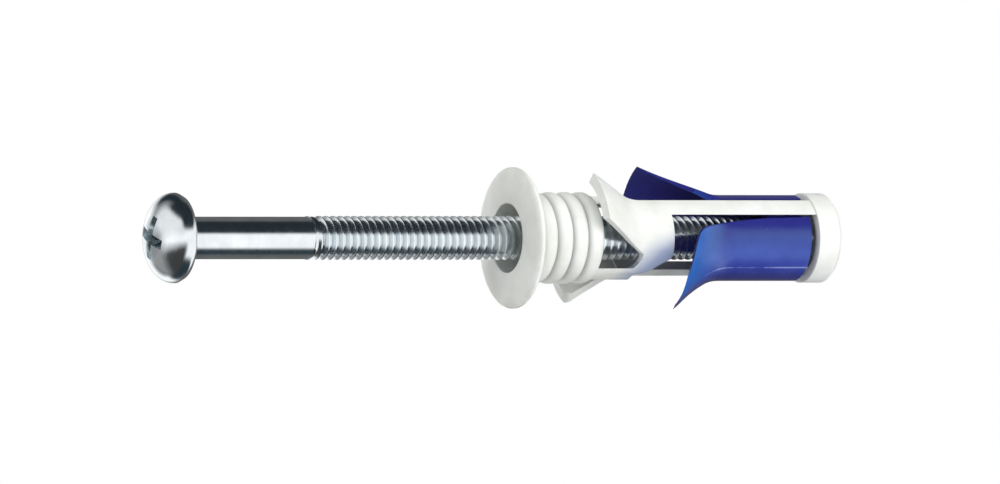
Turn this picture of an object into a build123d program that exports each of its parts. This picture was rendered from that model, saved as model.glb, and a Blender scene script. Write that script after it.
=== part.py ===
import os
from math import asin, cos, radians, sin, sqrt

from build123d import *

os.makedirs("parts", exist_ok=True)

# X runs along the screw from its head to the rear collar, and X = 0 is the flange's front rim.
# Angles go round X: 0 is the front side (-Y), 90 is the top.

# Screw: metric thread, pan head with a cross recess
thread_dia = 3.9
shank_step = 0.07
plain_length = 12.3
screw_length = 63.5
tip_chamfer = 0.5
tip_inset = 0.2
head_ledge = 2.12
head_height = 3.2
head_land = 0.8
head_round = 0.7
recess_span = 4.0
recess_slot = 0.95
recess_depth = 2.0
recess_draft = 9.0
recess_turn = 20.0

# Sleeve: flange and ringed neck
bore_room = 1.15
sleeve_wall = 0.9
flange_ledge = 2.3
flange_dome = 0.3
flange_rim = 0.5
flange_back = 0.6
neck_wall = 0.47
ring_height = 0.5
ring_first = 2.25
ring_pitch = 1.53
ring_count = 4

# Sleeve: slotted body, two ribs, rear collar
body_step = 0.16
slot_length = 3.9
slot_top = 1.7
slot_rear = 1.45
slot_angle = 0.0
band_length = 3.0
strip_width = 2.0
strip_angle = -60.0
strip_inset = 0.3
rib_width = 1.9
rib_angle = 47.0
window_length = 14.5
collar_length = 2.3
collar_chamfer = 0.35
sleeve_overlap = 0.6

# Sleeve: flared holding wings
wing_length = 5.2
wing_lap = 0.5
wing_rise = 2.45
wing_wall = 1.0
wing_bevel = 0.1
wing_slope = 29.0
wing_upper = 2.1
wing_nose = 0.45
wing_lower = 3.95

# Wing carrier: two flared petals joined by a core round the nut
collar_gap = 0.75
tube_length = 7.45
flare_length = 6.35
core_length = 3.65
petal_rise = 1.0
petal_wall = 0.72
petal_slope = 36.0
petal_angle = -44.0
petal_tip = 2.15
petal_waist = 3.7
petal_corner = 3.4
petal_edge = 1.9
carrier_inset = 0.16
carrier_wall = 0.76

# Nut in the rear of the carrier
nut_seat = 1.25
nut_length = 3.4
nut_room = 0.1

# Clearances
thread_clearance = 0.1
screw_clearance = 0.25
rib_clearance = 0.2
core_clearance = 0.12
nut_clearance = 0.03

# Shares: points of the flares and outlines, between the named sizes that each one follows
wing_flare_shares = ((0.25, 0.71), (0.57, 0.28))
wing_edge_shares = ((0.24, 0.66), (0.57, 0.32))
petal_flare_shares = ((0.32, 0.54), (0.64, 0.17))
petal_inner_shares = ((0.22, 0.67), (0.46, 0.36), (0.72, 0.11))
petal_edge_shares = ((0.04, 0.29), (0.069, 0.545), (0.112, 0.73), (0.279, 0.865), (0.634, 0.965))
petal_narrow_shares = ((0.28, 0.17), (0.50, 0.40), (0.72, 0.70))
band_sweep_shares = ((0.85, 0.62), (0.57, 0.79), (0.27, 0.945))
rim_round_share = 0.3
ring_crest_share = 0.3
ring_flank_share = 0.72
ring_shoulder_share = 0.66
round_share = 0.35
dome_share = 0.7
nose_share = 0.93
half_share = 0.5

half_turn = 180.0
quarter_turn = 90.0
hex_sides = 6

# Radii, from the screw outwards
thread_radius = thread_dia * half_share
shank_radius = thread_radius - shank_step
head_radius = shank_radius + head_ledge
bore_radius = thread_radius + bore_room
sleeve_radius = bore_radius + sleeve_wall
body_radius = sleeve_radius - body_step
groove_radius = bore_radius + neck_wall
ring_radius = groove_radius + ring_height
ring_shoulder = groove_radius + ring_height * ring_shoulder_share
flange_radius = sleeve_radius + flange_ledge
wing_radius = sleeve_radius + wing_rise
petal_radius = flange_radius + petal_rise
carrier_radius = sleeve_radius - carrier_inset
carrier_inner = carrier_radius - carrier_wall
carrier_bore = thread_radius + screw_clearance
nut_corner = bore_radius - nut_room
nut_half = nut_corner * cos(radians(half_turn / hex_sides))

# Stations along the axis, from the flange back to the collar and from there to the screw's head
ring_half = ring_pitch * half_share
ring_crest = ring_half * ring_crest_share
ring_flank = ring_half * ring_flank_share
neck_length = ring_first + ring_pitch * ring_count - ring_half
band_front = neck_length + slot_length
band_rear = band_front + band_length
strip_rear = band_front - strip_inset
wing_root = band_front + wing_lap
wing_front = wing_root - wing_length
collar_front = band_rear + window_length
sleeve_length = collar_front + collar_length
carrier_rear = collar_front - collar_gap
petal_root = carrier_rear - tube_length
petal_front = petal_root - flare_length
core_front = carrier_rear - core_length
nut_front = carrier_rear - nut_seat
screw_end = sleeve_length - tip_inset
head_under = screw_end - screw_length
head_crown = head_under - head_height
thread_start = head_under + plain_length

# Widths round the body
body_dia = body_radius + body_radius
rib_half = rib_width * half_share
rib_inner_flat = sqrt(bore_radius**2 - rib_half**2)
strip_low = body_radius * sin(radians(strip_angle))
strip_top = body_radius * sin(radians(strip_angle) + asin(strip_width * half_share / body_radius))
rib_low = body_radius * sin(radians(rib_angle) - asin(rib_half / body_radius))


def side_plane(angle):
    # A plane through the axis that faces out of the sleeve at this angle
    return Plane(origin=(0, 0, 0), x_dir=(1, 0, 0), z_dir=(0, -cos(radians(angle)), sin(radians(angle))))


def along(start, end, share):
    return start + (end - start) * share


def flare_points(front, root, tip_radius, root_radius, shares):
    between = [(along(front, root, x), along(root_radius, tip_radius, r)) for x, r in shares]
    return [(front, tip_radius), *between, (root, root_radius)]


def flare(front, root, tip_radius, root_radius, slope, shares):
    # A trumpet line from a wing's free end back to the cylinder that it grows from
    points = flare_points(front, root, tip_radius, root_radius, shares)
    lean = (cos(radians(slope)), -sin(radians(slope)))
    return Spline(*points, tangents=[lean, (1, 0)])


# Screw
with BuildPart() as machine_screw:
    with BuildSketch(Plane.XZ):
        with BuildLine():
            EllipticalCenterArc(
                (head_under - head_land, 0),
                head_height - head_land,
                head_radius,
                start_angle=quarter_turn,
                arc_size=quarter_turn,
            )
            Polyline(
                (head_under - head_land, head_radius),
                (head_under - head_round, head_radius),
                (head_under - head_round * round_share, head_radius - head_round * round_share),
                (head_under, head_radius - head_round),
                (head_under, shank_radius),
                (thread_start, shank_radius),
                (thread_start, thread_radius),
                (screw_end - tip_chamfer, thread_radius),
                (screw_end, thread_radius - tip_chamfer),
                (screw_end, 0),
                (head_crown, 0),
            )
        make_face()
    revolve(axis=Axis.X)
    recess_dir = (0, cos(radians(recess_turn)), sin(radians(recess_turn)))
    with BuildSketch(Plane(origin=(head_crown, 0, 0), x_dir=recess_dir, z_dir=(1, 0, 0))):
        Rectangle(recess_span, recess_slot)
        Rectangle(recess_slot, recess_span)
    extrude(amount=recess_depth, taper=recess_draft, mode=Mode.SUBTRACT)
machine_screw.part.label = "machine_screw"

# One holding wing, flaring forward from the body over the neck
with BuildPart() as wing:
    with BuildSketch(Plane.XZ):
        with BuildLine():
            outer = flare(wing_front, wing_root, wing_radius, body_radius, wing_slope, wing_flare_shares)
            inner = flare_points(
                wing_front - wing_bevel,
                wing_root,
                wing_radius - wing_wall,
                bore_radius,
                wing_flare_shares,
            )
            Polyline(
                outer @ 1,
                (wing_root + sleeve_overlap, body_radius),
                (wing_root + sleeve_overlap, bore_radius),
                *reversed(inner),
                outer @ 0,
            )
        make_face()
    revolve(axis=Axis.X)
    with BuildSketch(side_plane(rib_angle)):
        with BuildLine():
            edge = Spline(
                (wing_front + wing_nose, along(rib_half, wing_upper, nose_share)),
                *[
                    (along(wing_front, wing_root, x), along(rib_half, wing_upper, w))
                    for x, w in wing_edge_shares
                ],
                (wing_root, rib_half),
                tangents=[(1, -half_share), (1, 0)],
            )
            Polyline(
                edge @ 1,
                (wing_root + sleeve_overlap, rib_half),
                (wing_root + sleeve_overlap, -wing_lower),
                (wing_front - wing_bevel, -wing_lower),
                (wing_front - wing_bevel, wing_upper - wing_nose),
                (wing_front + wing_nose * round_share, wing_upper - wing_nose * round_share),
                edge @ 0,
            )
        make_face()
    extrude(amount=wing_radius + sleeve_overlap, mode=Mode.INTERSECT)
    with BuildSketch(side_plane(slot_angle)):
        with BuildLine():
            Polyline(
                (wing_front - wing_bevel, slot_top),
                (wing_front, slot_top),
                (band_front, -slot_rear),
                (band_front, -body_dia),
                (wing_front - wing_bevel, -body_dia),
                close=True,
            )
        make_face()
    extrude(amount=body_dia, mode=Mode.SUBTRACT)

# One saddle-shaped half of the body, between a strip and a rib
with BuildPart() as band:
    with BuildSketch(Plane.YZ):
        Circle(body_radius)
        Circle(bore_radius, mode=Mode.SUBTRACT)
    extrude(amount=sleeve_length)
    with BuildSketch(side_plane(slot_angle)):
        with BuildLine():
            sweep = Spline(
                (band_rear, -slot_rear),
                *[(along(strip_rear, band_rear, x), strip_low * w) for x, w in band_sweep_shares],
                (strip_rear, strip_low),
                tangents=[(0, -1), (-1, -half_share)],
            )
            slot = TangentArc(
                (band_front, -slot_rear),
                (band_front - (slot_rear + strip_top) * -half_share, strip_top),
                tangent=(0, -1),
            )
            Line(sweep @ 1, slot @ 1)
            Polyline(
                slot @ 0,
                (band_front, body_radius * sin(radians(rib_angle))),
                (band_rear, body_radius * sin(radians(rib_angle))),
                sweep @ 0,
            )
        make_face()
    extrude(amount=body_dia, mode=Mode.INTERSECT)

# One strip that ties the body to the neck
with BuildPart() as strip:
    with BuildSketch(Plane.YZ.offset(neck_length - sleeve_overlap)):
        Circle(body_radius)
        Circle(bore_radius, mode=Mode.SUBTRACT)
    extrude(amount=strip_rear - neck_length + sleeve_overlap)
    with BuildSketch(side_plane(strip_angle)):
        with Locations((neck_length, 0)):
            Rectangle(sleeve_length, strip_width)
    extrude(amount=body_dia, mode=Mode.INTERSECT)
    with BuildSketch(side_plane(slot_angle)):
        with Locations((neck_length, strip_top + body_radius)):
            Rectangle(sleeve_length, body_dia)
    extrude(amount=body_dia, mode=Mode.SUBTRACT)

# One rib that ties the body to the rear collar
with BuildPart() as rib:
    with BuildSketch(Plane.YZ.offset(band_front)):
        Circle(body_radius)
        Circle(bore_radius, mode=Mode.SUBTRACT)
    extrude(amount=collar_front + sleeve_overlap - band_front)
    with BuildSketch(side_plane(rib_angle)):
        with Locations((collar_front, 0)):
            Rectangle(2 * sleeve_length, rib_width)
    extrude(amount=body_dia, mode=Mode.INTERSECT)
    with BuildSketch(side_plane(slot_angle)):
        with Locations((collar_front, rib_low - body_radius)):
            Rectangle(2 * sleeve_length, body_dia)
    extrude(amount=body_dia, mode=Mode.SUBTRACT)

# Sleeve, moulded in one piece
with BuildPart() as sleeve:
    with BuildSketch(Plane.XZ):
        with BuildLine():
            rim_low = flange_radius - flange_rim * rim_round_share
            rim_round = flange_rim * rim_round_share
            Polyline(
                (-flange_dome, bore_radius),
                (-flange_dome * dome_share, along(bore_radius, rim_low, half_share)),
                (0, rim_low),
                (rim_round, flange_radius),
                (flange_rim - rim_round, flange_radius),
                (flange_rim, rim_low),
                (flange_rim + flange_back, groove_radius),
                (ring_first - ring_half, groove_radius),
            )
            for index in range(ring_count):
                middle = ring_first + ring_pitch * index
                Polyline(
                    (middle - ring_half, groove_radius),
                    (middle - ring_flank, ring_shoulder),
                    (middle - ring_crest, ring_radius),
                    (middle + ring_crest, ring_radius),
                    (middle + ring_flank, ring_shoulder),
                    (middle + ring_half, groove_radius),
                )
            Polyline((neck_length, groove_radius), (neck_length, bore_radius), (-flange_dome, bore_radius))
        make_face()
        with BuildLine():
            Polyline(
                (collar_front, bore_radius),
                (collar_front, sleeve_radius),
                (sleeve_length - collar_chamfer, sleeve_radius),
                (sleeve_length, sleeve_radius - collar_chamfer),
                (sleeve_length, bore_radius),
                close=True,
            )
        make_face()
    revolve(axis=Axis.X)
    for turn in (0, half_turn):
        add(wing.part, rotation=(turn, 0, 0))
        add(band.part, rotation=(turn, 0, 0))
        add(strip.part, rotation=(turn, 0, 0))
        add(rib.part, rotation=(turn, 0, 0))
sleeve.part.label = "sleeve"

# One petal of the wing carrier, flaring forward from its rear cylinder
with BuildPart() as petal:
    with BuildSketch(Plane.XZ):
        with BuildLine():
            lean = radians(petal_slope)
            outer = flare(
                petal_front, petal_root, petal_radius, carrier_radius, petal_slope, petal_flare_shares
            )
            inner = flare_points(
                petal_front + petal_wall * sin(lean),
                petal_root,
                petal_radius - petal_wall * cos(lean),
                carrier_inner,
                petal_inner_shares,
            )
            Polyline(
                outer @ 1,
                (carrier_rear, carrier_radius),
                (carrier_rear, carrier_inner),
                *reversed(inner),
                outer @ 0,
            )
        make_face()
    revolve(axis=Axis.X)
    with BuildSketch(side_plane(petal_angle)):
        with BuildLine():
            narrow = Spline(
                (petal_front, -petal_tip),
                *[
                    (along(petal_front, petal_root, x), -along(petal_tip, petal_waist, w))
                    for x, w in petal_narrow_shares
                ],
                (petal_root, -petal_waist),
                tangents=[(1, 0), (1, 0)],
            )
            Polyline(
                narrow @ 0,
                (petal_front, petal_radius),
                (carrier_rear, petal_radius),
                (carrier_rear, -petal_waist),
                narrow @ 1,
            )
        make_face()
    extrude(amount=petal_radius, mode=Mode.INTERSECT)
    with BuildSketch(side_plane(slot_angle)):
        with BuildLine():
            edge = Spline(
                (petal_front, -petal_corner),
                *[
                    (along(petal_front, carrier_rear, x), along(-petal_corner, petal_edge, w))
                    for x, w in petal_edge_shares
                ],
                (carrier_rear, petal_edge),
            )
            Polyline(
                edge @ 1,
                (carrier_rear, -2 * petal_radius),
                (petal_front, -2 * petal_radius),
                edge @ 0,
            )
        make_face()
    extrude(amount=petal_radius, both=True, mode=Mode.INTERSECT)

# Wing carrier, moulded in one piece
with BuildPart() as wing_carrier:
    with BuildSketch(Plane.YZ.offset(core_front)):
        Circle(carrier_inner + core_clearance)
        Circle(carrier_bore, mode=Mode.SUBTRACT)
    extrude(amount=carrier_rear - core_front)
    for turn in (0, half_turn):
        add(petal.part, rotation=(turn, 0, 0))
    for angle in (rib_angle, rib_angle + half_turn):
        with BuildSketch(side_plane(angle).offset(rib_inner_flat - core_clearance)):
            with Locations((petal_root, 0)):
                Rectangle(sleeve_length, rib_width + 2 * rib_clearance)
        extrude(amount=petal_radius, mode=Mode.SUBTRACT)
    with BuildSketch(Plane.YZ.offset(nut_front)):
        RegularPolygon(nut_half + nut_clearance, hex_sides, major_radius=False)
    extrude(amount=carrier_rear - nut_front, mode=Mode.SUBTRACT)
wing_carrier.part.label = "wing_carrier"

# Nut
with BuildPart() as nut:
    with BuildSketch(Plane.YZ.offset(nut_front)):
        RegularPolygon(nut_half, hex_sides, major_radius=False)
        Circle(thread_radius + thread_clearance, mode=Mode.SUBTRACT)
    extrude(amount=nut_length)
nut.part.label = "nut"

export_step(machine_screw.part, "parts/machine_screw.step")
export_step(sleeve.part, "parts/sleeve.step")
export_step(wing_carrier.part, "parts/wing_carrier.step")
export_step(nut.part, "parts/nut.step")
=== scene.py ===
from math import cos, hypot, pi, radians, sin

import bpy
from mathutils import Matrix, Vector


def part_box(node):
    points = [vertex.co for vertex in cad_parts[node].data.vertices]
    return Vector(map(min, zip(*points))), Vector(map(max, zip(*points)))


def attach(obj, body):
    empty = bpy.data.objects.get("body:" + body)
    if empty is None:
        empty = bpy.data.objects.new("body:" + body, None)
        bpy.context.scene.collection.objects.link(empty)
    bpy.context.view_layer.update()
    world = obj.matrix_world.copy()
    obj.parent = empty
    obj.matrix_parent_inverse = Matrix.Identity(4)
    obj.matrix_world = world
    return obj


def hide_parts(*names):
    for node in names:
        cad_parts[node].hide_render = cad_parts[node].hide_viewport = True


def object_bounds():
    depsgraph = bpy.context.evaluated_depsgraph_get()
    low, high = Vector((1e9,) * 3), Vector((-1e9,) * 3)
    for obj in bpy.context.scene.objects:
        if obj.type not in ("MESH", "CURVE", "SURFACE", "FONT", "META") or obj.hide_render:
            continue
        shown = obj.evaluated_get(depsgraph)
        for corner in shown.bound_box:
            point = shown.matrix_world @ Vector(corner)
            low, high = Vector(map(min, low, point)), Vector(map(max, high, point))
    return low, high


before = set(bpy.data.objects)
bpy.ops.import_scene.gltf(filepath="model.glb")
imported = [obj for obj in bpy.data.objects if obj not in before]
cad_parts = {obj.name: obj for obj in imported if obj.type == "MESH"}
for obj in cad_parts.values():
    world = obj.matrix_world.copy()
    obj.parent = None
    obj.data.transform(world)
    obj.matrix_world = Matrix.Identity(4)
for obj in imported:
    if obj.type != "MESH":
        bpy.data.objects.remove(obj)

cad_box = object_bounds()
MM = 0.001

# ---------------------------------------------------------------- sizes

# Screw: an M4 thread of 0.7 mm pitch, rolled on the turned blank behind the plain shank
PITCH = 0.7 * MM
CREST = 1.95 * MM
ROOT = 1.53 * MM
BLANK = 1.86 * MM
CREST_FLAT = 0.12 * MM
ROOT_FLAT = 0.14 * MM
THREAD_START = -20.095 * MM
RUN_OUT = 1.1 * MM
TIP_CHAMFER = 0.5 * MM
TURN_STEPS = 40
SPARE_TURNS = 2
NEAR_AXIS = 0.1 * MM

# Sleeve: its bore, its slotted body, and the body's rear edge, which sweeps forward on its way down
BORE = 3.1 * MM
BODY = 3.84 * MM
NECK_END = 7.0 * MM
BAND_END = 14.5 * MM
BAND_SWEEP = 0.81

# Carrier: the direction up across the near petal, in the plane square to the screw
PETAL_MIDDLE = radians(-43.5)
PETAL_UP = (0, sin(PETAL_MIDDLE), cos(PETAL_MIDDLE))

# Points closer than this are one; edges sharper than this many degrees stay sharp
CAD_MERGE = 0.002 * MM
HELIX_MERGE = 0.001 * MM
TURNED_EDGE = 35
ROLLED_EDGE = 28
MOULDED_EDGE = 40

# How far a face may lean outwards from the screw's axis and still count as an inner one
SLEEVE_LEAN = -0.25
CARRIER_LEAN = 0.3

# ---------------------------------------------------------------- helpers


def linear(code):
    # sRGB hex colour as linear RGBA
    channels = [int(code[i:i + 2], 16) / 255 for i in (1, 3, 5)]
    return (*(c / 12.92 if c <= 0.04045 else ((c + 0.055) / 1.055) ** 2.4 for c in channels), 1.0)


def grey(value):
    return (value, value, value, 1.0)


def greys(*stops):
    return [(place, grey(value)) for place, value in stops]


def deselect():
    if bpy.context.mode != "OBJECT":
        bpy.ops.object.mode_set(mode="OBJECT")
    bpy.ops.object.select_all(action="DESELECT")


def only(obj):
    deselect()
    obj.select_set(True)
    bpy.context.view_layer.objects.active = obj


def edit_all(obj):
    only(obj)
    bpy.ops.object.mode_set(mode="EDIT")
    bpy.ops.mesh.select_all(action="SELECT")


def smooth(obj, degrees):
    only(obj)
    bpy.ops.object.shade_smooth_by_angle(angle=radians(degrees))


def cad_copy(node, name):
    # A copy of a CAD node's mesh, with the doubled points along its face borders merged
    obj = bpy.data.objects.new(name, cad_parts[node].data.copy())
    bpy.context.scene.collection.objects.link(obj)
    obj.data.name = name
    obj.data.materials.clear()
    edit_all(obj)
    bpy.ops.mesh.customdata_custom_splitnormals_clear()
    bpy.ops.mesh.remove_doubles(threshold=CAD_MERGE)
    bpy.ops.object.mode_set(mode="OBJECT")
    return obj


def mark_inside(obj, limit):
    # Faces that lean outwards from the screw's axis less than the limit get 1 in "inside", the others 0
    values = []
    for face in obj.data.polygons:
        outwards = Vector((0, face.center.y, face.center.z)).normalized()
        values.append(1.0 if face.normal.dot(outwards) < limit else 0.0)
    obj.data.attributes.new("inside", "FLOAT", "FACE").data.foreach_set("value", values)


def new_material(name):
    material = bpy.data.materials.new(name)
    material.use_nodes = True
    material.node_tree.nodes.clear()
    return material, material.node_tree


def add(tree, kind, links=(), values=(), stops=(), out=0, **settings):
    # One node with its settings, fixed values, colour stops and links; gives the output asked for, or all
    node = tree.nodes.new(kind)
    for key, value in settings.items():
        setattr(node, key, value)
    for socket, value in values:
        node.inputs[socket].default_value = value
    for socket, source in links:
        tree.links.new(source, node.inputs[socket])
    if stops:
        elements = node.color_ramp.elements
        while len(elements) < len(stops):
            elements.new(0.5)
        for element, (place, color) in zip(elements, stops):
            element.position = place
            element.color = color
    return node.outputs if out is None else node.outputs[out]


# Sockets of the Mix node, whose names are the same for numbers and colours
SHARE, NUMBER_A, NUMBER_B, COLOR_A, COLOR_B = 0, 2, 3, 6, 7
COLOR_RESULT = 2
MIX_COLORS = {"data_type": "RGBA", "out": COLOR_RESULT}


def from_axis(tree, xyz):
    # A point's distance from the screw's axis
    across = add(tree, "ShaderNodeCombineXYZ", [("Y", xyz["Y"]), ("Z", xyz["Z"])])
    return add(tree, "ShaderNodeVectorMath", [(0, across)], operation="LENGTH", out="Value")


def on_both_halves(tree, xyz, height):
    # The drop below a middle on the near half, and the same on the far half, the near one turned over
    side = add(tree, "ShaderNodeMath", [(0, xyz["Y"])], operation="SIGN")
    return add(tree, "ShaderNodeMath", [(0, height), (1, side)], operation="MULTIPLY")


# ---------------------------------------------------------------- materials

# Where a noise texture's low and high values lie, and how finely it is broken up
NOISE_LOW, NOISE_HIGH = 0.3, 0.7
MARK_DETAIL = 3.0
GRAIN_DETAIL = 2.0
CORNER_SAMPLES = 6

ZINC_PATCH = 1.6 * MM
ZINC_LINE = 0.5 * MM
ZINC_LINE_DEPTH = 0.002 * MM
ZINC_LINES_ROUND_AXIS = (9, 1, 1)
TURNED_ROUGH = (0.064, 0.277)
ROLLED_ROUGH = (0.081, 0.351)


def zinc(name, root, crest, thread_start):
    # Zinc-plated steel: a cool, bright mirror with turned lines; the rolled thread is rougher, with
    # painted shade darkening its roots
    material, tree = new_material(name)
    place = add(tree, "ShaderNodeTexCoord", out="Object")
    xyz = add(tree, "ShaderNodeSeparateXYZ", [(0, place)], out=None)
    radius = from_axis(tree, xyz)
    patch = add(tree, "ShaderNodeTexNoise", [("Vector", place)],
                [("Scale", 1 / ZINC_PATCH), ("Detail", MARK_DETAIL)])
    plate = add(tree, "ShaderNodeValToRGB", [(0, patch)],
                stops=[(NOISE_LOW, linear("#DCE2E6")), (NOISE_HIGH, linear("#F0F4F6"))])
    # Painted shade: darker towards the thread's roots
    depth = add(tree, "ShaderNodeMapRange", [(0, radius)], [("From Min", root), ("From Max", crest)])
    color = add(tree, "ShaderNodeMix", [(SHARE, depth), (COLOR_B, plate)], [(COLOR_A, linear("#D6DEE2"))],
                **MIX_COLORS)

    drawn = add(tree, "ShaderNodeVectorMath", [(0, place)], [(1, ZINC_LINES_ROUND_AXIS)],
                operation="MULTIPLY")
    lines = add(tree, "ShaderNodeTexNoise", [("Vector", drawn)],
                [("Scale", 1 / ZINC_LINE), ("Detail", MARK_DETAIL)])
    turned, rolled = (
        add(tree, "ShaderNodeMapRange", [(0, lines)], [("To Min", low), ("To Max", high)])
        for low, high in (TURNED_ROUGH, ROLLED_ROUGH)
    )
    threaded = add(tree, "ShaderNodeMapRange", [(0, xyz["X"])],
                   [("From Min", thread_start), ("From Max", thread_start + RUN_OUT)])
    rough = add(tree, "ShaderNodeMix", [(SHARE, threaded), (NUMBER_A, turned), (NUMBER_B, rolled)],
                data_type="FLOAT")
    normal = add(tree, "ShaderNodeBump", [("Height", lines)],
                 [("Strength", 1.0), ("Distance", ZINC_LINE_DEPTH)])
    shader = add(tree, "ShaderNodeBsdfPrincipled",
                 [("Base Color", color), ("Roughness", rough), ("Normal", normal)], [("Metallic", 1.0)])
    add(tree, "ShaderNodeOutputMaterial", [("Surface", shader)], out=None)
    return material


NYLON_FLOW = 2.4 * MM
NYLON_GRAIN = 0.22 * MM
NYLON_GRAIN_DEPTH = 0.01 * MM
NYLON_ROUGH = (0.316, 0.579)
NYLON_CORNER = 0.14 * MM
NYLON_SCATTER = 0.4 * MM
NYLON_SCATTER_SHARE = 0.2
NYLON_SCATTER_COLOR = (1.0, 0.97, 0.92)

# Strength of the shades over the way from the bore out to the wings, and over the neck's length
WINGS = 2 * BODY - BORE
INNER_SHADE = ((0.05, 0.5), (0.5, 0.45), (0.8, 0.1))
GROOVES = ((0.2, 0.0), (0.32, 0.65), (0.6, 0.0))
NECK = ((0.1, 0.0), (0.2, 1.0), (0.93, 1.0), (0.98, 0.0))
INNER_SHADE_START = NECK_END - MM

# The painted blue light from the carrier: its width along the body's rear edge, the drop over which it
# comes up, where it stops
PAINTED_BLUE_LIGHT_WIDTH = 2.6 * MM
PAINTED_BLUE_LIGHT_DROP = (-0.8 * MM, 1.2 * MM)
PAINTED_BLUE_LIGHT_STOP = (BAND_END + 0.6 * MM, BAND_END + 0.2 * MM)
PAINTED_BLUE_LIGHT_SHARE = 0.8


def nylon():
    # White moulded nylon: satin, slightly translucent skin with faint flow marks; painted shade between
    # the rings and on the inner faces, and painted blue light from the carrier along the body's thin rear
    # edge
    material, tree = new_material("white_nylon")
    place = add(tree, "ShaderNodeTexCoord", out="Object")
    xyz = add(tree, "ShaderNodeSeparateXYZ", [(0, place)], out=None)
    radius = from_axis(tree, xyz)
    flow = add(tree, "ShaderNodeTexNoise", [("Vector", place)],
               [("Scale", 1 / NYLON_FLOW), ("Detail", MARK_DETAIL)])
    grain = add(tree, "ShaderNodeTexNoise", [("Vector", place)],
                [("Scale", 1 / NYLON_GRAIN), ("Detail", GRAIN_DETAIL)])
    color = add(tree, "ShaderNodeValToRGB", [(0, flow)],
                stops=[(NOISE_LOW, linear("#E4E6E0")), (NOISE_HIGH, linear("#F1F3F0"))])

    # Shade at the bottom of the grooves between the neck's rings
    depth = add(tree, "ShaderNodeMapRange", [(0, radius)], [("From Min", BORE), ("From Max", WINGS)])
    groove = add(tree, "ShaderNodeValToRGB", [(0, depth)], stops=greys(*GROOVES))
    along = add(tree, "ShaderNodeMapRange", [(0, xyz["X"])], [("From Max", NECK_END)])
    neck = add(tree, "ShaderNodeValToRGB", [(0, along)], stops=greys(*NECK))
    shade = add(tree, "ShaderNodeMath", [(0, groove), (1, neck)], operation="MULTIPLY")
    color = add(tree, "ShaderNodeMix", [(SHARE, shade), (COLOR_A, color)], [(COLOR_B, linear("#9FA3A3"))],
                **MIX_COLORS)

    # Painted shade on the inner faces: most in the bore behind the neck, little on the wings
    inner_shade = add(tree, "ShaderNodeAttribute", attribute_name="inside", out="Fac")
    deep = add(tree, "ShaderNodeValToRGB", [(0, depth)], stops=greys(*INNER_SHADE))
    behind = add(tree, "ShaderNodeMapRange", [(0, xyz["X"])],
                 [("From Min", INNER_SHADE_START), ("From Max", NECK_END)])
    for factor in (deep, behind):
        inner_shade = add(tree, "ShaderNodeMath", [(0, inner_shade), (1, factor)], operation="MULTIPLY")
    color = add(tree, "ShaderNodeMix", [(SHARE, inner_shade), (COLOR_A, color)], [(COLOR_B, linear("#5E616B"))],
                **MIX_COLORS)

    # Painted blue light from the carrier along the body's rear edge, on the side that turns down to the
    # strip
    drop = on_both_halves(tree, xyz, xyz["Z"])
    swept = add(tree, "ShaderNodeMath", [(0, drop)], [(1, BAND_SWEEP)], operation="MULTIPLY")
    reach = add(tree, "ShaderNodeMath", [(0, xyz["X"]), (1, swept)], operation="ADD")
    painted_blue_light = add(tree, "ShaderNodeMapRange", [(0, reach)],
               [("From Min", BAND_END - PAINTED_BLUE_LIGHT_WIDTH), ("From Max", BAND_END)])
    low = add(tree, "ShaderNodeMapRange", [(0, drop)],
              [("From Min", PAINTED_BLUE_LIGHT_DROP[0]), ("From Max", PAINTED_BLUE_LIGHT_DROP[1])])
    body = add(tree, "ShaderNodeMapRange", [(0, xyz["X"])],
               [("From Min", PAINTED_BLUE_LIGHT_STOP[0]), ("From Max", PAINTED_BLUE_LIGHT_STOP[1]), ("To Max", PAINTED_BLUE_LIGHT_SHARE)])
    for factor in (low, body):
        painted_blue_light = add(tree, "ShaderNodeMath", [(0, painted_blue_light), (1, factor)], operation="MULTIPLY")
    color = add(tree, "ShaderNodeMix", [(SHARE, painted_blue_light), (COLOR_A, color)], [(COLOR_B, linear("#7F92BC"))],
                **MIX_COLORS)

    rough = add(tree, "ShaderNodeMapRange", [(0, grain)],
                [("To Min", NYLON_ROUGH[0]), ("To Max", NYLON_ROUGH[1])])
    corner = add(tree, "ShaderNodeBevel", values=[("Radius", NYLON_CORNER)], samples=CORNER_SAMPLES)
    normal = add(tree, "ShaderNodeBump", [("Height", grain), ("Normal", corner)],
                 [("Strength", 1.0), ("Distance", NYLON_GRAIN_DEPTH)])
    shader = add(tree, "ShaderNodeBsdfPrincipled",
                 [("Base Color", color), ("Roughness", rough), ("Normal", normal)],
                 [("Subsurface Weight", NYLON_SCATTER_SHARE), ("Subsurface Radius", NYLON_SCATTER_COLOR),
                  ("Subsurface Scale", NYLON_SCATTER)])
    add(tree, "ShaderNodeOutputMaterial", [("Surface", shader)], out=None)
    return material


BLUE_FLOW = 2.0 * MM
BLUE_GRAIN = 0.3 * MM
BLUE_GRAIN_DEPTH = 0.01 * MM
BLUE_ROUGH = (0.111, 0.333)
BLUE_ROUGH_INSIDE = 0.6
BLUE_CORNER = 0.1 * MM
BLUE_SPECULAR = 0.7

# Strength of the painted shade, a deeper blue, over the petal's width, from its upper to its lower edge
EDGE_SHADE_SPAN = 3 * MM
EDGE_SHADES = ((0.0, 0.75), (0.22, 0.0), (0.5, 0.0), (0.68, 0.55), (1.0, 0.85))

# Strength of the painted light, a greener blue, over the petal's length from its free end, and the drop
# over which it fades
FREE_END = ((0.0, 1.0), (0.38, 0.0))
FREE_DROP = (1.6 * MM, -0.2 * MM)

# The painted highlight line along the petal's middle: half its width with and without its soft edge, the
# noise that breaks it, its start
LINE_HALF = (0.1 * MM, 0.03 * MM)
LINE_NOISE = (0.44, 0.6)
LINE_LEAST = 0.1
LINE_BEGINS = (0.22, 0.36)
LINE_SHARE = 0.75


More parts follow.
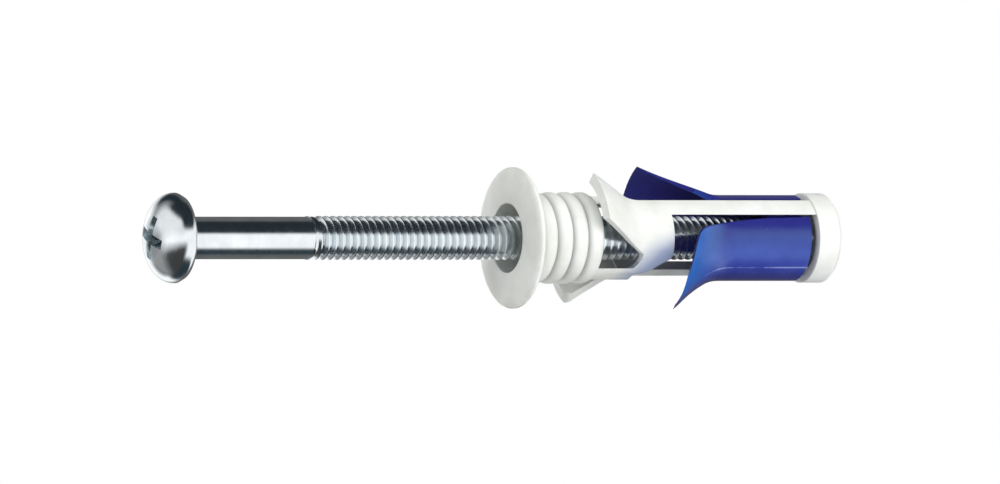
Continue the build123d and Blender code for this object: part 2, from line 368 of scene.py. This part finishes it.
def blue_plastic(tip, root):
    # Royal-blue moulded plastic: glossy skin, painted shade along the petals' long edges, painted light
    # greener towards their thin free ends, a painted highlight line along the middle; painted shade, dark
    # navy, on the inner faces
    material, tree = new_material("blue_plastic")
    place = add(tree, "ShaderNodeTexCoord", out="Object")
    xyz = add(tree, "ShaderNodeSeparateXYZ", [(0, place)], out=None)
    flow = add(tree, "ShaderNodeTexNoise", [("Vector", place)],
               [("Scale", 1 / BLUE_FLOW), ("Detail", MARK_DETAIL)])
    grain = add(tree, "ShaderNodeTexNoise", [("Vector", place)],
                [("Scale", 1 / BLUE_GRAIN), ("Detail", GRAIN_DETAIL)])
    color = add(tree, "ShaderNodeValToRGB", [(0, flow)],
                stops=[(NOISE_LOW, linear("#333E9A")), (NOISE_HIGH, linear("#3D4AA6"))])
    along = add(tree, "ShaderNodeMapRange", [(0, xyz["X"])], [("From Min", tip), ("From Max", root)])
    up = add(tree, "ShaderNodeVectorMath", [(0, place)], [(1, PETAL_UP)],
             operation="DOT_PRODUCT", out="Value")
    drop = on_both_halves(tree, xyz, up)

    # Painted shade: a deeper blue along the edges
    width = add(tree, "ShaderNodeMapRange", [(0, drop)], [("From Min", -EDGE_SHADE_SPAN), ("From Max", EDGE_SHADE_SPAN)])
    edge_shade = add(tree, "ShaderNodeValToRGB", [(0, width)], stops=greys(*EDGE_SHADES))
    color = add(tree, "ShaderNodeMix", [(SHARE, edge_shade), (COLOR_A, color)], [(COLOR_B, linear("#221A6C"))],
                **MIX_COLORS)

    # Painted light through the thin free end: greener there, above all on its upper part
    free = add(tree, "ShaderNodeValToRGB", [(0, along)], stops=greys(*FREE_END))
    upper = add(tree, "ShaderNodeMapRange", [(0, drop)],
                [("From Min", FREE_DROP[0]), ("From Max", FREE_DROP[1])])
    tip_light = add(tree, "ShaderNodeMath", [(0, free), (1, upper)], operation="MULTIPLY")
    color = add(tree, "ShaderNodeMix", [(SHARE, tip_light), (COLOR_A, color)], [(COLOR_B, linear("#0063C2"))],
                **MIX_COLORS)

    # Painted highlight line along the petal's middle, broken into glints
    away = add(tree, "ShaderNodeMath", [(0, drop)], operation="ABSOLUTE")
    glint_line = add(tree, "ShaderNodeMapRange", [(0, away)],
               [("From Min", LINE_HALF[0]), ("From Max", LINE_HALF[1])])
    glints = add(tree, "ShaderNodeMapRange", [(0, flow)],
                 [("From Min", LINE_NOISE[0]), ("From Max", LINE_NOISE[1]), ("To Min", LINE_LEAST)])
    straight = add(tree, "ShaderNodeMapRange", [(0, along)],
                   [("From Min", LINE_BEGINS[0]), ("From Max", LINE_BEGINS[1]), ("To Max", LINE_SHARE)])
    for factor in (glints, straight):
        glint_line = add(tree, "ShaderNodeMath", [(0, glint_line), (1, factor)], operation="MULTIPLY")
    color = add(tree, "ShaderNodeMix", [(SHARE, glint_line), (COLOR_A, color)], [(COLOR_B, linear("#A9B4E4"))],
                **MIX_COLORS)

    # Painted shade: dark navy on the inner faces
    inside = add(tree, "ShaderNodeAttribute", attribute_name="inside", out="Fac")
    color = add(tree, "ShaderNodeMix", [(SHARE, inside), (COLOR_A, color)], [(COLOR_B, linear("#1C0268"))],
                **MIX_COLORS)
    gloss = add(tree, "ShaderNodeMapRange", [(0, grain)],
                [("To Min", BLUE_ROUGH[0]), ("To Max", BLUE_ROUGH[1])])
    rough = add(tree, "ShaderNodeMix", [(SHARE, inside), (NUMBER_A, gloss)],
                [(NUMBER_B, BLUE_ROUGH_INSIDE)], data_type="FLOAT")
    corner = add(tree, "ShaderNodeBevel", values=[("Radius", BLUE_CORNER)], samples=CORNER_SAMPLES)
    normal = add(tree, "ShaderNodeBump", [("Height", grain), ("Normal", corner)],
                 [("Strength", 1.0), ("Distance", BLUE_GRAIN_DEPTH)])
    shader = add(tree, "ShaderNodeBsdfPrincipled",
                 [("Base Color", color), ("Roughness", rough), ("Normal", normal)],
                 [("Specular IOR Level", BLUE_SPECULAR), ("Specular Tint", linear("#B9F2FF"))])
    add(tree, "ShaderNodeOutputMaterial", [("Surface", shader)], out=None)
    return material


PAPER_FIBRE = 1.2 * MM
PAPER_SHINE = 0.45
PAPER_FADE = (0.3, 0.95)


def paper(radius):
    # Matte white studio paper that fades out into the white surroundings
    material, tree = new_material("studio_paper")
    place = add(tree, "ShaderNodeTexCoord", out="Object")
    far = add(tree, "ShaderNodeVectorMath", [(0, place)], operation="LENGTH", out="Value")
    fibre = add(tree, "ShaderNodeTexNoise", [("Vector", place)],
                [("Scale", 1 / PAPER_FIBRE), ("Detail", MARK_DETAIL)])
    sheet = add(tree, "ShaderNodeValToRGB", [(0, fibre)],
                stops=[(NOISE_LOW, linear("#F4F4F3")), (NOISE_HIGH, linear("#FAFAFA"))])
    seen = add(tree, "ShaderNodeLightPath", out="Is Camera Ray")
    white = add(tree, "ShaderNodeMath", [(0, seen)], [(1, PAPER_SHINE)], operation="MULTIPLY")
    matte = add(tree, "ShaderNodeBsdfDiffuse", [("Color", sheet)])
    shine = add(tree, "ShaderNodeEmission", [("Color", sheet), ("Strength", white)])
    lit = add(tree, "ShaderNodeAddShader", [(0, matte), (1, shine)])
    clear = add(tree, "ShaderNodeBsdfTransparent")
    fade = add(tree, "ShaderNodeMapRange", [(0, far)],
               [("From Min", PAPER_FADE[0] * radius), ("From Max", PAPER_FADE[1] * radius)])
    both = add(tree, "ShaderNodeMixShader", [(0, fade), (1, lit), (2, clear)])
    add(tree, "ShaderNodeOutputMaterial", [("Surface", both)], out=None)
    return material


# ---------------------------------------------------------------- screw

screw_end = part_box("machine_screw")[1][0]

# Head and plain shank: the turned blank as far as the thread
shank = cad_copy("machine_screw", "screw_head")
edit_all(shank)
bpy.ops.mesh.bisect(plane_co=(THREAD_START, 0, 0), plane_no=(1, 0, 0), use_fill=True, clear_outer=True)
bpy.ops.object.mode_set(mode="OBJECT")
smooth(shank, TURNED_EDGE)

# Rolled thread: one groove and crest, swept round the axis as a right-handed helix
deselect()
bpy.ops.mesh.primitive_plane_add(size=PITCH, location=(0, 0, 0))
thread = bpy.context.object
thread.name = thread.data.name = "screw_thread"
edit_all(thread)
bpy.ops.mesh.merge(type="CENTER")
sweep_start = THREAD_START - SPARE_TURNS * PITCH
bpy.ops.transform.translate(value=(sweep_start, 0, ROOT))
flank = (PITCH - CREST_FLAT - ROOT_FLAT) / 2
for step, rise in ((ROOT_FLAT, 0), (flank, CREST - ROOT), (CREST_FLAT, 0), (flank, ROOT - CREST)):
    bpy.ops.mesh.extrude_region_move(TRANSFORM_OT_translate={"value": (step, 0, rise)})
bpy.ops.object.mode_set(mode="OBJECT")
helix = thread.modifiers.new("helix", "SCREW")
helix.axis = "X"
helix.angle = 2 * pi
helix.screw_offset = PITCH
helix.iterations = int((screw_end - sweep_start) / PITCH) + SPARE_TURNS + 1
helix.steps = helix.render_steps = TURN_STEPS
helix.use_merge_vertices = False
only(thread)
bpy.ops.object.modifier_apply(modifier="helix")
edit_all(thread)
bpy.ops.mesh.remove_doubles(threshold=HELIX_MERGE)
for end, outwards in ((THREAD_START, -1), (screw_end, 1)):
    bpy.ops.mesh.select_all(action="SELECT")
    bpy.ops.mesh.bisect(plane_co=(end, 0, 0), plane_no=(outwards, 0, 0), use_fill=True, clear_outer=True)
bpy.ops.mesh.select_all(action="SELECT")
bpy.ops.mesh.normals_make_consistent(inside=False)
bpy.ops.object.mode_set(mode="OBJECT")

# The thread rises out of the blank over its run-out and ends in the tip's chamfer
for vertex in thread.data.vertices:
    x, y, z = vertex.co
    r = hypot(y, z)
    if r < NEAR_AXIS:
        continue
    run_in = min(1.0, max(0.0, (x - THREAD_START) / RUN_OUT))
    wanted = min(BLANK + (r - BLANK) * run_in, CREST - TIP_CHAMFER + (screw_end - x))
    vertex.co = (x, y * wanted / r, z * wanted / r)
smooth(thread, ROLLED_EDGE)

# ---------------------------------------------------------------- sleeve, carrier, nut

sleeve = cad_copy("sleeve", "sleeve_body")
smooth(sleeve, MOULDED_EDGE)
mark_inside(sleeve, SLEEVE_LEAN)
carrier = cad_copy("wing_carrier", "carrier_body")
smooth(carrier, MOULDED_EDGE)
mark_inside(carrier, CARRIER_LEAN)
nut = cad_copy("nut", "nut_body")
smooth(nut, TURNED_EDGE)

# ---------------------------------------------------------------- looks and bodies

# The painted root shade is gone this far below the crest
ROOT_SHADE_CLEAR = 0.05 * MM
carrier_low, carrier_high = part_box("wing_carrier")
screw_look = zinc("plated_screw", ROOT, CREST - ROOT_SHADE_CLEAR, THREAD_START)
nut_look = zinc("plated_nut", 0.0, MM, screw_end)
sleeve_look = nylon()
carrier_look = blue_plastic(carrier_low[0], carrier_high[0])
for piece, look, slot, body, node in (
    (shank, screw_look, "screw_zinc", "screw", "machine_screw"),
    (thread, screw_look, "screw_zinc", "screw", "machine_screw"),
    (sleeve, sleeve_look, "sleeve_nylon", "sleeve", "sleeve"),
    (carrier, carrier_look, "carrier_plastic", "carrier", "wing_carrier"),
    (nut, nut_look, "nut_zinc", "carrier", "nut"),
):
    piece.data.materials.clear()
    piece.data.materials.append(look)
    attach(piece, body)
    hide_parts(node)

# ---------------------------------------------------------------- floor, light, camera

FLOOR_RADIUS = 160 * MM
FLOOR_SIDES = 64
FLOOR_GAP = 0.02 * MM
deselect()
bpy.ops.mesh.primitive_circle_add(vertices=FLOOR_SIDES, radius=FLOOR_RADIUS, fill_type="NGON",
                                  location=(0, 0, cad_box[0][2] - FLOOR_GAP))
floor = bpy.context.object
floor.name = "floor"
floor.visible_glossy = False
floor.data.materials.append(paper(FLOOR_RADIUS))

# Studio: white for the camera, soft grey for the plastics, and for metal a bright band between a dark
# ceiling and floor, with patches of another level, which begin and are full at these values of a
# direction's X, Y or Z
SOFT_LIGHT = 0.5
MIRROR_LIGHT = 1.15
BAND = (
    (0.0, linear("#2A373E")), (0.08, linear("#303C43")), (0.15, grey(1.0)),
    (0.63, grey(1.0)), (0.73, linear("#242E35")), (1.0, linear("#1C252B")),
)
PATCHES = {
    "right rear": (0.12, (("Y", 0.05, 0.35), ("X", 0.15, 0.4))),
    "left below": (0.05, (("X", -0.1, -0.35), ("Z", -0.1, -0.4))),
    "left rear": (0.3, (("X", -0.2, -0.45), ("Y", 0.25, 0.6))),
    "far left": (0.8, (("X", -0.42, -0.65), ("Z", 0.78, 0.62), ("Z", 0.0, 0.2))),
}
scene = bpy.context.scene
world = bpy.data.worlds.new("studio")
scene.world = world
world.use_nodes = True
room = world.node_tree
room.nodes.clear()
towards = add(room, "ShaderNodeTexCoord", out="Generated")
direction = add(room, "ShaderNodeSeparateXYZ", [(0, towards)], out=None)
level = add(room, "ShaderNodeMapRange", [(0, direction["Z"])], [("From Min", -1.0), ("From Max", 1.0)])
dome = add(room, "ShaderNodeValToRGB", [(0, level)], stops=BAND)
for brightness, edges in PATCHES.values():
    patch = None
    for axis, begins, full in edges:
        edge = add(room, "ShaderNodeMapRange", [(0, direction[axis])],
                   [("From Min", begins), ("From Max", full)])
        if patch is not None:
            edge = add(room, "ShaderNodeMath", [(0, patch), (1, edge)], operation="MULTIPLY")
        patch = edge
    dome = add(room, "ShaderNodeMix", [(SHARE, patch), (COLOR_A, dome)], [(COLOR_B, grey(brightness))],
               **MIX_COLORS)
rays = add(room, "ShaderNodeLightPath", out=None)
soft = add(room, "ShaderNodeBackground", values=[("Color", grey(1.0)), ("Strength", SOFT_LIGHT)])
mirror = add(room, "ShaderNodeBackground", [("Color", dome)], [("Strength", MIRROR_LIGHT)])
white = add(room, "ShaderNodeBackground", values=[("Color", grey(1.0)), ("Strength", 1.0)])
shine = add(room, "ShaderNodeMixShader", [(0, rays["Is Glossy Ray"]), (1, soft), (2, mirror)])
both = add(room, "ShaderNodeMixShader", [(0, rays["Is Camera Ray"]), (1, shine), (2, white)])
add(room, "ShaderNodeOutputWorld", [("Surface", both)], out=None)

# Soft boxes that look at the flange, with their places in metres and their power in watts
LAMP_SIZE = 0.30
LAMPS = {
    "key": ((0.17, -0.48, 0.08), 1.75),
    "top": ((0.05, -0.10, 0.50), 0.2),
    "fill": ((-0.45, -0.28, 0.33), 0.85),
    "back": ((0.05, 0.50, 0.10), 1.3),
}
for name, (place, power) in LAMPS.items():
    data = bpy.data.lights.new(name, "AREA")
    data.size = LAMP_SIZE
    data.energy = power
    lamp = bpy.data.objects.new(name, data)
    lamp.location = place
    lamp.rotation_euler = (-Vector(place)).to_track_quat("-Z", "Y").to_euler()
    lamp.visible_glossy = False
    scene.collection.objects.link(lamp)

# Camera: far off with a long lens, because the photo shows next to no perspective
VIEW_ANGLE = radians(26.6)
DISTANCE = 2.0
FRAME_WIDTH = 88.89 * MM
SENSOR = 36
CLIP_START = 0.1
AIM_RIGHT = -0.88 * MM
AIM_UP = -0.359 * MM
right = Vector((cos(VIEW_ANGLE), -sin(VIEW_ANGLE), 0))
forward = Vector((sin(VIEW_ANGLE), cos(VIEW_ANGLE), 0))
camera_data = bpy.data.cameras.new("camera")
camera_data.sensor_width = SENSOR
camera_data.lens = SENSOR * DISTANCE / FRAME_WIDTH
camera_data.clip_start = CLIP_START
camera = bpy.data.objects.new("camera", camera_data)
camera.location = right * AIM_RIGHT + Vector((0, 0, AIM_UP)) - forward * DISTANCE
camera.rotation_euler = forward.to_track_quat("-Z", "Y").to_euler()
scene.collection.objects.link(camera)
scene.camera = camera
scene.view_settings.view_transform = "Standard"
